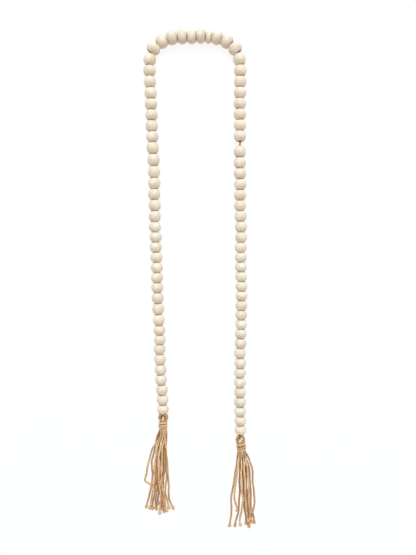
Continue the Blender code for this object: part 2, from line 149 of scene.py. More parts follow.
# The twine's path through the beads, from knot to knot, half a bead above the surface
ROUTE = (
    (-50.1, -170.7, 8.0), (-50.6, -150.0, 8.0), (-52.3, -118.0, 8.0), (-53.9, -88.0, 8.0),
    (-53.8, -62.0, 8.0), (-55.3, -20.0, 8.0), (-56.2, 25.0, 8.0), (-57.5, 70.0, 8.0),
    (-58.6, 120.0, 8.0), (-59.0, 172.0, 8.0), (-60.4, 205.0, 8.0), (-61.9, 262.0, 8.0),
    (-63.2, 296.0, 8.0), (-62.6, 308.5, 8.7), (-56.6, 319.2, 9.0), (-46.6, 326.6, 8.8),
    (-27.0, 332.0, 8.9), (-8.6, 332.3, 8.5), (4.0, 333.0, 8.8), (23.4, 331.0, 8.7),
    (36.2, 326.4, 8.8), (46.9, 318.4, 9.0), (52.2, 308.5, 8.7), (53.5, 296.0, 8.0),
    (53.6, 266.0, 8.0), (52.9, 240.0, 8.0), (53.8, 204.0, 8.0), (53.2, 186.0, 8.0),
    (54.4, 149.0, 8.0), (53.9, 122.0, 8.0), (56.0, 82.0, 8.0), (55.4, 60.0, 8.0),
    (56.6, 26.0, 8.0), (56.9, -34.0, 8.0), (56.1, -64.0, 8.0), (55.9, -115.0, 8.0),
    (56.5, -160.0, 8.0), (57.1, -202.0, 8.0),
)
ROUTE_STEPS = 16

# How far a bead can hang below the twine's middle
HOLE_PLAY = 0.6

# Twines: three plies that turn about each other once in every lay. A hairy one has so many
# stray fibres on a square millimetre.
PLIES = 3
PLY_RADIUS = 0.31
PLY_OFFSET = 0.19
FIBRE_UNTWIST = -0.8
STRAND_WIDTH = 2.9
BINDING_WIDTH = 2.0
KNOT_WIDTH = 3.2
TWINE_COLUMNS = ("width", "lay", "step", "sides", "hair", "groove", "lightness", "paleness")
TWINES = {
    "stringing": (TWINE_WIDTH, 9.0, 0.8, 6, 0.0, 0.6, 1.15, 0.0),
    "strands": (STRAND_WIDTH, 9.0, 0.75, 5, 0.008, 0.1, 1.24, 0.05),
    "binding": (BINDING_WIDTH, 9.0, 0.5, 6, 0.01, 0.3, 1.1, 0.75),
    "knots": (KNOT_WIDTH, 12.0, 0.4, 6, 0.01, 0.25, 1.2, 0.7),
}
# The groove's painted shade starts and ends at these distances from the middle, as shares of the width.
GROOVE_START = 0.46
GROOVE_END = 0.36
# From one twine of a piece to the next, the twist and the grain start this much further on.
TURN_APART = 0.37
GRAIN_APART = 171.0

# A stray fibre is a bent sliver that thins to its end. It leans out of the twine and strays aside.
FIBRE_LENGTH = 2.6
FIBRE_RADIUS = 0.055
FIBRE_TAPER = 0.3
FIBRE_CURVE = {"Start": (0.0, 0.0, 0.0), "Middle": (0.0, 0.18, 0.5), "End": (0.15, 0.0, 1.0)}
FIBRE_SIZES = {"Min": 0.45, "Max": 1.15}
FIBRE_OUT = 0.38
FIBRE_STRAY = 0.3
TIP_HAIR = 0.35

# The skirt: strands lie on the surface or on each other. across is measured from the binding's
# lower end, at stations down the skirt, level counts the strands below, and the tail ends in
# the tip. turn is where the strand comes out of the head, in degrees from its lowest point. shade
# is 0 for the darkest and 1 for the palest: partly the jute's own colour, and partly painted shade
# on the low strands that others cover. tip is the share of a full brush, where it has less.
LEVEL_STEP = 2.6
STATION_STEP = 12.0
STRAND_STEPS = 14
STRAND_COLUMNS = ("turn", "shade", "across", "level", "tail", "tip")
# A brushed tip frays along this length, and is so much wider at these places from the strand's end.
TIP_LENGTH = 8.0
FRAY_POWER = 1.5
TIP_SHAPE = (
    (0.0, 0.5), (0.4, 1.0), (1.2, 1.55), (2.4, 1.8),
    (4.0, 1.5), (6.0, 1.05), (TIP_LENGTH, 0.9), (14.0, 1.0),
)
# Strands leave the head at their turn from the lowest point, and spread round the neck. Below it
# they wander from side to side in two waves, of a length in this range and of this size, and rise.
LOWEST = 270.0
NECK_SPREAD = 1.32
NECK_CLOSES = 0.65
HELD_END = 24.0
FREE_START = 44.0
WAVES = (((24, 38), 0.35), ((9, 14), 0.08))
RISE = 0.12
RISE_LENGTH = 19.0
# Each strand's shade differs by so much down its length. Further down, the strands are more alike,
# and just below the binding the low ones get painted shade, where the others lie over them.
STRAND_SHADES = 0.08
SHADES_LENGTH = 31.0
TIP_SHADE = 0.72
LOOSE_SHADE = 0.5
LOOSE_SHARE = 0.55
LOOSE_START = 60.0
LOOSE_END = 115.0
NECK_DARKER = 1.3
NECK_DARK_END = 62.0
# The pale strands lie on top, and are pulled tight and thin at the neck, by up to this share.
NECK_PULL = (
    (0.0, 0.0), (10.0, 0.05), (18.0, 0.3), (36.0, 0.25), (60.0, 0.0),
)
# Strands take one shade in the head, which gives way to their own by this far down. Those with a
# turn over this one pass beside the knot, and take there the painted shade of the knot's recess.
HEAD_SHADE_END = 24.0
HEAD_SHADE_POWER = 4
BESIDE_KNOT = 90.0

# The binding goes round the neck from one tucked end to the other, and is level for a part of its
# first and last turns. The knot is one turn of twine that moves aside by a share of its width.
BINDING_TURNS = 4.3
LEVEL_TURN = 0.3
TUCKED_TURN = 1 / 6
TUCK_DEPTH = 1.6
BINDING_ROWS = 240
BINDING_SEED = 30
KNOT_HEIGHT = 9.4
KNOT_ADVANCE = 0.82
KNOT_SHADE = 0.9
KNOT_ROWS = 120
KNOT_SEED = 50

# The head's rows hold how far down they are, how far the strands reach aside and how far up, and the
# height of the middle.
LEFT_TASSEL = {
    "name": "left",
    "head_top": (-50.1, -165.3),
    "lean": 0.0,
    "binding": (10.6, 21.0),
    "neck_height": 6.0,
    "binding_reach": 5.1,
    "binding_drift": -0.9,
    "binding_shades": (0.95, 0.3, 0.9, 0.6, 0.6),
    "binding_droop": (0.0, -1.4, -0.6, 0.4, 0.4),
    "knot_down": 7.0,
    "knot_reach": 3.9,
    "knot_swell": 1.0,
    "knot_slant": 90.0,
    "head_shade": 0.55,
    "shade_beside_knot": 0.5,
    "first_station": 13.7,
    "seed": 3,
    "head": (
        (1.1, 2.4, 2.2, 8.0), (1.9, 4.3, 3.8, 7.9), (4.4, 5.7, 5.2, 7.2), (7.2, 5.4, 5.0, 6.8),
        (9.3, 4.2, 4.0, 6.3), (10.8, 3.5, 3.3, 6.0), (16.0, 3.3, 3.2, 6.0), (21.0, 3.9, 3.4, 5.9),
    ),
    "strands": (
        (-57, 0.45, (-9.0, -11.6, -14.3, -17.0, -17.2, -16.9, -17.8, -20.8, -23.5),
         (0, 0, 0, 0, 0, 0, 1, 0.4, 0), ((-26.1, 122.0),)),
        (-80, 0.2, (-6.8, -8.9, -10.4, -10.9, -10.9, -11.0, -12.5, -13.8, -15.9),
         (0,) * 9, ((-18.0, 124.6),)),
        (-102, 0.75, (-4.7, -12.6, -18.3, -21.0, -23.7, -26.4),
         (2, 1.2, 0, 0, 0, 0),
         ((-27.7, 79.4), (-20.2, 85.4), (-15.1, 89.1), (-12.6, 95.9), (-12.5, 108.7), (-13.2, 122.7))),
        (-125, 0.85, (-3.8, -7.7, -10.5, -12.8, -13.5, -13.5, -15.1, -16.6, -19.4),
         (1, 1, 1, 1, 1, 1, 1.3, 1, 0), ((-20.8, 123.8),)),
        (-34, 0.15, (-4.9, -6.5, -8.0, -8.7, -9.3, -9.8, -10.0, -11.0, -11.7),
         (0, 0, 0, 0, 0, 0, 0.4, 1, 1), ((-10.8, 123.8),)),
        (-11, 0.0, (-2.7, -3.2, -4.3, -5.2, -5.3, -5.4, -7.5, -8.4, -9.1),
         (0,) * 9, ((-9.2, 117.7),)),
        (125, 1.0, (-0.9, -3.9, -6.6, -7.6, -7.3, -7.6, -6.6, -5.4, -5.8),
         (1.8, 1.8, 1.3, 1, 1, 1, 1, 1, 1), ((-6.5, 129.9),)),
        (11, 0.1, (-0.7, -0.6, -0.8, -0.9, -1.2, -1.9, -4.0, -4.1, -4.1),
         (0,) * 9, ((-3.3, 125.3),)),
        (102, 0.85, (1.2, -0.8, -2.4, -2.8, -3.6, -3.7, -2.7, -0.7, 0.6),
         (1,) * 9, ((4.1, 126.1),)),
        (34, 0.3, (1.2, 1.5, 1.0, 1.2, 0.9, -0.5, -1.6, -2.7, -2.4),
         (0, 0.5, 1, 1, 1, 0.8, 0, 0, 0), ((-0.3, 129.1),)),
        (80, 0.75, (2.5, 2.2, 2.1, 2.6, 2.9, 3.2, 2.4, 1.5, 3.4),
         (1, 1, 0, 0, 0, 0, 0, 0, 0), ((7.0, 122.9),)),
        (57, 0.5, (3.6, 3.0, 3.3, 4.0, 4.9, 5.7, 6.1, 6.2, 7.4),
         (0, 0, 0.6, 0.6, 0.6, 0.6, 0.6, 0.6, 0), ((13.0, 123.8),)),
    ),
}

RIGHT_TASSEL = {
    "name": "right",
    "head_top": (56.5, -196.6),
    "lean": math.radians(6.0),
    "binding": (10.7, 21.9),
    "neck_height": 6.9,
    "binding_reach": 5.6,
    "binding_drift": 0.4,
    "binding_shades": (1.0, 0.3, 0.6, 0.75, 0.75),
    "binding_droop": (-1.0, -1.2, -0.9, 0.2, 0.2),
    "knot_down": 6.4,
    "knot_reach": 4.2,
    "knot_swell": 1.35,
    "knot_slant": 64.0,
    "head_shade": 0.5,
    "shade_beside_knot": 0.42,
    "first_station": 15.6,
    "seed": 8,
    "head": (
        (1.1, 2.0, 2.0, 8.0), (1.9, 3.3, 3.4, 7.9), (4.3, 4.7, 5.0, 7.1), (7.2, 5.4, 5.3, 6.9),
        (9.4, 4.9, 4.6, 6.9), (10.9, 4.1, 3.9, 6.9), (16.0, 3.6, 3.6, 6.9), (21.9, 4.4, 3.8, 6.8),
    ),
    "strands": (
        (-69, 0.5, (-6.0, -6.6, -8.6, -10.6, -12.1, -13.7, -13.7, -13.5, -15.0),
         (0,) * 9, ((-16.4, 118.3),)),
        (-97, 0.85, (-3.4, -4.2, -5.7, -7.7, -8.6, -8.8),
         (1, 1, 0, 0, 0, 0), ((-6.6, 86.0), (-5.4, 89.8), (-7.1, 94.6)), 0.1),
        (-42, 0.1, (-2.0, -1.7, -1.8, -1.9, -1.8, -2.1, -2.9, -4.4, -7.2),
         (0,) * 9, ((-8.2, 118.4),)),
        (-125, 1.0, (0.2, 0.2, 0.1, 0.4, 1.2, 2.7, 1.9, -0.2, -0.9),
         (1, 1, 1, 1, 1, 1, 0.6, 0, 0), ((0.2, 117.2),)),
        (-14, 0.0, (1.2, 2.2, 2.7, 3.3, 4.1, 4.2, 5.2, 6.7, 8.0),
         (0,) * 9, ((8.8, 115.1),)),
        (125, 0.95, (3.3, 4.0, 5.0, 5.8, 6.2, 6.3, 7.4, 8.8),
         (1,) * 8, ((10.4, 110.0),)),
        (14, 0.05, (4.2, 6.0, 7.3, 7.7, 8.1, 8.6, 9.8, 10.9, 11.5),
         (0,) * 9, ((12.8, 119.8),)),
        (97, 0.85, (6.6, 8.8, 10.0, 10.7, 11.0, 11.3, 12.0),
         (1,) * 7, ((13.0, 99.0), (13.4, 107.0))),
        (42, 0.3, (7.5, 10.8, 12.2, 13.2, 13.7, 14.2, 14.9, 17.6, 19.6),
         (0, 0, 0, 0, 0, 0, 0.9, 1, 0), ((19.9, 113.6),)),
        (69, 0.5, (11.0, 15.1, 16.4, 17.0, 18.2, 19.8, 18.6, 16.2, 14.4),
         (0,) * 9, ((14.4, 113.4),)),
    ),
}

# Colours as sRGB
PALE_WOOD = "EAD9C4"
LIGHT_WOOD = "F1E6D8"
WARM_WOOD = "E9D0AF"
PORE_WOOD = "BFA077"
BORE_WOOD = "8C6A45"
SAWN_AND_SHADE_WOOD = "A98357"
JUTE_GROOVE_SHADE = "7A4B26"
JUTE_DARK = "B58048"
JUTE_MIDDLE = "DAAF80"
JUTE_LIGHT = "EED4B0"
JUTE_FRAYED = "EDC997"
JUTE_SHADED = "8E6B49"
JUTE_LIT = "FFFAF4"
SHADED_SHARE = 0.15

# The floor lies just under the garland, and the lights' places and widths are in metres. The backdrop
# turns from pale to warm between these two heights, as sines of the angle above the horizon.
FLOOR_SIZE = 8.0
FLOOR_DROP = 0.2
PALE_BACKDROP = (0.68, 0.64, 0.58, 1.0)
WARM_BACKDROP = (0.2, 0.144, 0.084, 1.0)
PALE_END = 0.34
WARM_START = 0.42
# Softboxes: name, place, width, power and colour
SOFTBOXES = (
    ("key", (0.1, 1.9, 4.0), 3.0, 180.0, (0.85, 0.92, 0.97)),
    ("back", (0.0, 3.7, 2.6), 2.4, 84.0, (0.42, 0.76, 1.0)),
    ("left side", (-3.4, 0.5, 1.4), 2.0, 5.0, (0.82, 0.92, 1.0)),
    ("right side", (3.4, 0.5, 1.4), 2.0, 5.0, (0.82, 0.92, 1.0)),
)

# Settings that several nodes share
VECTOR = {"data_type": "FLOAT_VECTOR"}
COLOURS = {"data_type": "RGBA"}


def linear(code):
    """An sRGB hex colour as linear RGBA."""
    shares = [int(code[i : i + 2], 16) / 255 for i in (0, 2, 4)]
    return (*(s / 12.92 if s <= 0.04045 else ((s + 0.055) / 1.055) ** 2.4 for s in shares), 1.0)


def in_use(sockets, key):
    """The socket of this name or place among those that the node's settings leave in use."""
    usable = [socket for socket in sockets if socket.enabled]
    return usable[key] if isinstance(key, int) else next(s for s in usable if s.name == key)


def fill(tree, node, inputs):
    """Fills a node's inputs. A node links its first output, or the named one."""
    for name, value in inputs.items():
        source = (value, 0) if isinstance(value, bpy.types.Node) else value
        if isinstance(source, tuple) and isinstance(source[0], bpy.types.Node):
            tree.links.new(in_use(source[0].outputs, source[1]), in_use(node.inputs, name))
        else:
            in_use(node.inputs, name).default_value = value


def add(tree, kind, settings=None, inputs=None):
    """Adds a node with its settings and inputs."""
    node = tree.nodes.new(kind)
    for name, value in (settings or {}).items():
        setattr(node, name, value)
    fill(tree, node, inputs or {})
    return node


def number_math(tree, operation, *values):
    """A node that reckons with numbers."""
    return add(tree, "ShaderNodeMath", {"operation": operation}, dict(enumerate(values)))


def vector_math(tree, operation, *values):
    """A node that reckons with vectors."""
    return add(tree, "ShaderNodeVectorMath", {"operation": operation}, dict(enumerate(values)))


def mapped(tree, value, before=(0.0, 1.0), after=(0.0, 1.0), settings=None):
    """The value, taken from the range before to the range after."""
    ends = dict(zip(("From Min", "From Max", "To Min", "To Max"), (*before, *after)))
    return add(tree, "ShaderNodeMapRange", settings, {"Value": value, **ends})


def ramp(value, start, end):
    """How far the value has come from start to end, as a share."""
    return min(1.0, max(0.0, (value - start) / (end - start)))


def smooth_line(points, steps):
    """Points along a smooth curve through the given ones, and how far along each lies."""
    line = [Vector(point) for point in points]
    gaps = [(b - a).length for a, b in zip(line, line[1:])]
    runs = [(b - a) / gap for a, b, gap in zip(line, line[1:], gaps)]
    slopes = [runs[0]]
    for before, after, near, far in zip(runs, runs[1:], gaps, gaps[1:]):
        slopes.append((before * far + after * near) / (near + far))
    slopes.append(runs[-1])
    curve = []
    for i, gap in enumerate(gaps):
        for step in range(steps):
            t = step / steps
            start = (2 * t**3 - 3 * t**2 + 1) * line[i] + (t**3 - 2 * t**2 + t) * gap * slopes[i]
            end = (3 * t**2 - 2 * t**3) * line[i + 1] + (t**3 - t**2) * gap * slopes[i + 1]
            curve.append(start + end)
    curve.append(line[-1])
    reach = [0.0]
    for start, end in zip(curve, curve[1:]):
        reach.append(reach[-1] + (end - start).length)
    return curve, reach


def point_along(route, distance):
    curve, reach = route
    for i, far in enumerate(reach[1:]):
        if distance <= far:
            share = (distance - reach[i]) / (far - reach[i])
            return curve[i].lerp(curve[i + 1], share)
    return curve[-1].copy()


def between(rows, place):
    """The value at this place, read between rows of places and values."""
    for (near, before), (far, after) in zip(rows, rows[1:]):
        if place <= far:
            return before + (after - before) * max(0.0, (place - near) / (far - near))
    return rows[-1][1]


def grow(obj, tree, sizes):
    """Runs a node tree on the object with these named inputs, and keeps the result as a plain mesh."""
    modifier = obj.modifiers.new(tree.name, "NODES")
    modifier.node_group = tree
    for item in tree.interface.items_tree:
        if item.item_type == "SOCKET" and item.in_out == "INPUT" and item.name in sizes:
            modifier[item.identifier] = sizes[item.name]
    bpy.context.view_layer.update()
    evaluated = obj.evaluated_get(bpy.context.evaluated_depsgraph_get())
    mesh = bpy.data.meshes.new_from_object(evaluated)
    obj.modifiers.clear()
    obj.data = mesh
    mesh.name = obj.name


def new_object(name, data):
    obj = bpy.data.objects.new(name, data)
    bpy.context.scene.collection.objects.link(obj)
    return obj


def place_piece(obj, nodes):
    """The piece stands for these frame nodes and lies still with them."""
    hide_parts(*nodes)
    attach(obj, BODY)


def node_tree(name, sockets):
    """An empty geometry tree with these named inputs, its input node and its output node."""
    tree = bpy.data.node_groups.new(name, "GeometryNodeTree")
    for way in ("OUTPUT", "INPUT"):
        tree.interface.new_socket(name="Geometry", in_out=way, socket_type="NodeSocketGeometry")
    for label, kind in sockets.items():
        tree.interface.new_socket(name=label, in_out="INPUT", socket_type=f"NodeSocket{kind}")
    return tree, tree.nodes.new("NodeGroupInput"), tree.nodes.new("NodeGroupOutput")


def random_roll(tree, rotation, seed):
    """The rotation, with a random turn about its own length."""
    angle = add(tree, "FunctionNodeRandomValue", {}, {"Max": 2 * math.pi, "Seed": seed})
    roll = add(tree, "FunctionNodeAxisAngleToRotation", {}, {"Axis": UP, "Angle": angle})
    turned = {"Rotation": rotation, "Rotate By": roll}
    return add(tree, "FunctionNodeRotateRotation", {"rotation_space": "LOCAL"}, turned)


def store(mesh, field, values):
    """Keeps one number or vector at each point of the mesh."""
    vector = isinstance(values[0], Vector)
    attribute = mesh.attributes.new(field, "FLOAT_VECTOR" if vector else "FLOAT", "POINT")
    flat = [share for value in values for share in value] if vector else values
    attribute.data.foreach_set("vector" if vector else "value", flat)


def attribute_mesh(name, places, edges, fields):
    """A mesh of points and edges that carries each field."""
    mesh = bpy.data.meshes.new(name)
    mesh.from_pydata([place * MM for place in places], edges, [])
    for field, values in fields.items():
        store(mesh, field, values)
    return mesh


def make_camera():
    camera = new_object("camera", bpy.data.cameras.new("camera"))
    camera.location = Vector(CAMERA_PLACE) * MM
    camera.rotation_euler = (-CAMERA_TILT, 0.0, 0.0)
    camera.data.sensor_fit = "VERTICAL"
    camera.data.sensor_height = SENSOR_HEIGHT
    camera.data.lens = SENSOR_HEIGHT * FOCAL_PIXELS / PICTURE_HEIGHT
    camera.data.clip_start = NEAREST_SEEN * MM
    bpy.context.scene.camera = camera


def uneven(sections, draws):
    """Beads of a string: the pitches differ a little, and each section keeps its length."""
    beads = []
    for count, common in sections:
        spread = [draws.uniform(-1.0, 1.0) for _ in range(count)]
        middle = sum(spread) / len(spread)
        for value in spread:
            pitch = common * (1.0 + PITCH_SPREAD * (value - middle))
            beads.append({"pitch": pitch, "width": BEAD_WIDTH, "aside": 0.0, "shape": "ball"})
    return beads


def place_string(beads, route, start):
    """The beads with their two end points, and how far along the route the string ends."""
    placed = []
    for bead in beads:
        ends = {"start": point_along(route, start), "end": point_along(route, start + bead["pitch"])}
        placed.append({**bead, **ends})
        start += bead["pitch"]
    return placed, start


def strung_beads(route):
    """The two strings of beads, before and after the bare twine, as the frame has them."""
    draws = random.Random(PITCH_SEED)
    arch = [dict(zip(ARCH_COLUMNS, values)) for values in ARCH_BEADS]
    first = uneven(LEFT_STRAND, draws) + arch + uneven(ABOVE_BARE_TWINE, draws)
    second = uneven(BELOW_BARE_TWINE, draws)
    above, reach = place_string(first, route, KNOT_TO_BEAD)
    below, _ = place_string(second, route, reach + BARE_TWINE)
    return above, below


def bead_rows(string, draws):
    """Centre, direction, stretch and shape of each bead. A bend in the string takes length off the
    beads, so that their faces only touch."""
    ways = [(bead["end"] - bead["start"]).normalized() for bead in string]
    bends = [0.0, *(a.angle(b, 0.0) for a, b in zip(ways, ways[1:])), 0.0]
    rows = []
    for i, (bead, way) in enumerate(zip(string, ways)):
        shape = SHAPES[bead["shape"]]
        give = FACE_GIVE * shape["face"]
        head, foot = (TOUCH / 2 + give * math.tan(bend / 2) for bend in bends[i : i + 2])
        length = (bead["end"] - bead["start"]).length - head - foot
        aside = UP.cross(way).normalized() * (bead["aside"] + draws.uniform(-BEAD_JOG, BEAD_JOG))
        lean = Vector((draws.uniform(-BEAD_LEAN, BEAD_LEAN), draws.uniform(-BEAD_LEAN, BEAD_LEAN), 0.0))
        centre = bead["start"] + way * (head + length / 2) + aside
        centre.z = max(bead["width"] / 2 + BEAD_LIFT, centre.z - HOLE_PLAY)
        widen = bead["width"] / BEAD_WIDTH
        stretch = Vector((widen, widen, length / shape["length"]))
        rows.append((centre, (way + lean).normalized(), stretch, list(SHAPES).index(bead["shape"])))
    return rows


def bead_profile(shape):
    """Half section of a bead: radius and height, from the bore's middle round to the bore's middle."""
    ball, top, bore = BEAD_WIDTH / 2, shape["length"] / 2, HOLE_WIDTH / 2
    half = [(bore, top - LIP - LIP_TO_WALL)]
    for turn in (math.radians(angle) for angle in LIP_ANGLES):
        half.append((bore + LIP - LIP * math.cos(turn), top - LIP + LIP * math.sin(turn)))
    if shape["power"]:
        face = shape["face"]
        for turn in (math.radians(90 * share) for share in (1.0, *SIDE_SHARES)):
            out = math.cos(turn) ** (2 / shape["power"])
            rise = math.sin(turn) ** (2 / shape["power"])
            half.append((face + (ball - face) * out, top * rise))
    else:
        half.append((shape["face"] - SHOULDER, top))
        limit = math.asin(top / ball)
        for turn in (limit * share for share in SIDE_SHARES):
            half.append((ball * math.cos(turn), ball * math.sin(turn)))
    return half + [(radius, -height) for radius, height in reversed(half)]


def turned_bead(order, name):
    """One bead, spun from its half section about its hole."""
    turned = bmesh.new()
    places = [(radius * MM, 0.0, height * MM) for radius, height in bead_profile(SHAPES[name])]
    profile = [turned.verts.new(place) for place in places]
    edges = [turned.edges.new(pair) for pair in zip(profile, [*profile[1:], profile[0]])]
    whole = {"cent": (0.0, 0.0, 0.0), "axis": UP, "angle": 2 * math.pi, "steps": BEAD_SIDES}
    bmesh.ops.spin(turned, geom=profile + edges, use_merge=True, **whole)
    bmesh.ops.remove_doubles(turned, verts=turned.verts, dist=MERGE_WITHIN * MM)
    bmesh.ops.recalc_face_normals(turned, faces=turned.faces)
    mesh = bpy.data.meshes.new(name)
    turned.to_mesh(mesh)
    turned.free()
    return bpy.data.objects.new(f"{order}_{name}", mesh)


def threading_tree():
    """Threads beads on points: each turned at random about its hole, and none quite like another."""
    sockets = {"Shapes": "Collection", "Wood": "Material", "Seed": "Int", "Unevenness": "Float"}
    tree, given, result = node_tree("threaded beads", sockets)
    seed = (given, "Seed")
    held = {"Collection": (given, "Shapes"), "Separate Children": True, "Reset Children": True}
    shapes = add(tree, "GeometryNodeCollectionInfo", {}, held)
    shape, way, stretch = (
        add(tree, "GeometryNodeInputNamedAttribute", settings, {"Name": name})
        for name, settings in (("shape", {}), ("way", VECTOR), ("stretch", VECTOR))
    )
    upright = add(tree, "FunctionNodeAlignRotationToVector", {"axis": "Z"}, {"Vector": way})
    threaded = {
        "Points": (given, "Geometry"),
        "Instance": shapes,
        "Pick Instance": True,
        "Instance Index": shape,
        "Rotation": random_roll(tree, upright, seed),
        "Scale": stretch,
    }
    beads = add(tree, "GeometryNodeInstanceOnPoints", {}, threaded)
    order = add(tree, "GeometryNodeInputIndex")
    tone = add(tree, "FunctionNodeRandomValue", {}, {"Seed": seed, "ID": order})
    spread = {"Min": (-GRAIN_SHIFT,) * 3, "Max": (GRAIN_SHIFT,) * 3, "Seed": seed}
    shift = add(tree, "FunctionNodeRandomValue", VECTOR, spread)
    for name, settings, value in (("bead_tone", {}, tone), ("grain_shift", VECTOR, shift)):
        kept = {"Geometry": beads, "Name": name, "Value": value}
        beads = add(tree, "GeometryNodeStoreNamedAttribute", {**settings, "domain": "INSTANCE"}, kept)
    real = add(tree, "GeometryNodeRealizeInstances", {}, {"Geometry": beads})
    place = add(tree, "GeometryNodeInputPosition")
    spots = {"Vector": place, "Scale": 1 / (HOLLOW_SIZE * MM), "Detail": 1.0}
    hollows = add(tree, "ShaderNodeTexNoise", {}, spots)
    centred = number_math(tree, "SUBTRACT", hollows, 0.5)
    depth = number_math(tree, "MULTIPLY", centred, (given, "Unevenness"))
    push = vector_math(tree, "SCALE", add(tree, "GeometryNodeInputNormal"), depth)
    dented = add(tree, "GeometryNodeSetPosition", {}, {"Geometry": real, "Offset": push})
    smooth = add(tree, "GeometryNodeSetShadeSmooth", {}, {"Geometry": dented})
    wooden = add(tree, "GeometryNodeSetMaterial", {}, {"Geometry": smooth, "Material": (given, "Wood")})
    fill(tree, result, {"Geometry": wooden})
    return tree


def bead_shapes():
    """A collection with one bead of each shape, which says at each point how far from its middle it
    lies, and how near its end."""
    shapes = bpy.data.collections.new("shapes")
    for order, (name, shape) in enumerate(SHAPES.items()):
        bead = turned_bead(order, name)
        places = [vertex.co / MM for vertex in bead.data.vertices]
        top = shape["length"] / 2
        store(bead.data, "grain_place", places)
        # How near its end a point lies, for the sawn end grain and the painted shade where beads meet
        ends = [max(0.0, 1.0 - (top - abs(place.z)) / SAWN_AND_SHADE_DEPTH) for place in places]
        store(bead.data, "end_grain", ends)
        shapes.objects.link(bead)
    return shapes


def make_beads(route, wood):
    above, below = strung_beads(route)
    draws = random.Random(JOG_SEED)
    rows = bead_rows(above, draws) + bead_rows(below, draws)
    shapes = bead_shapes()
    tree = threading_tree()
    for number, (name, first, last) in enumerate(BEAD_PIECES):
        chosen = rows[(first - 1) * BEADS_IN_A_RUN : last * BEADS_IN_A_RUN]
        places, ways, stretches, kinds = zip(*chosen)
        fields = {"way": ways, "stretch": stretches, "shape": [float(kind) for kind in kinds]}
        obj = new_object(name, attribute_mesh(name, places, [], fields))
        sizes = {"Shapes": shapes, "Wood": wood, "Seed": BEAD_SEED + number, "Unevenness": UNEVENNESS * MM}
        grow(obj, tree, sizes)
        place_piece(obj, [f"beads_{i:02d}" for i in range(first, last + 1)])
    for bead in list(shapes.objects):
        bpy.data.objects.remove(bead, do_unlink=True)
    bpy.data.collections.remove(shapes)


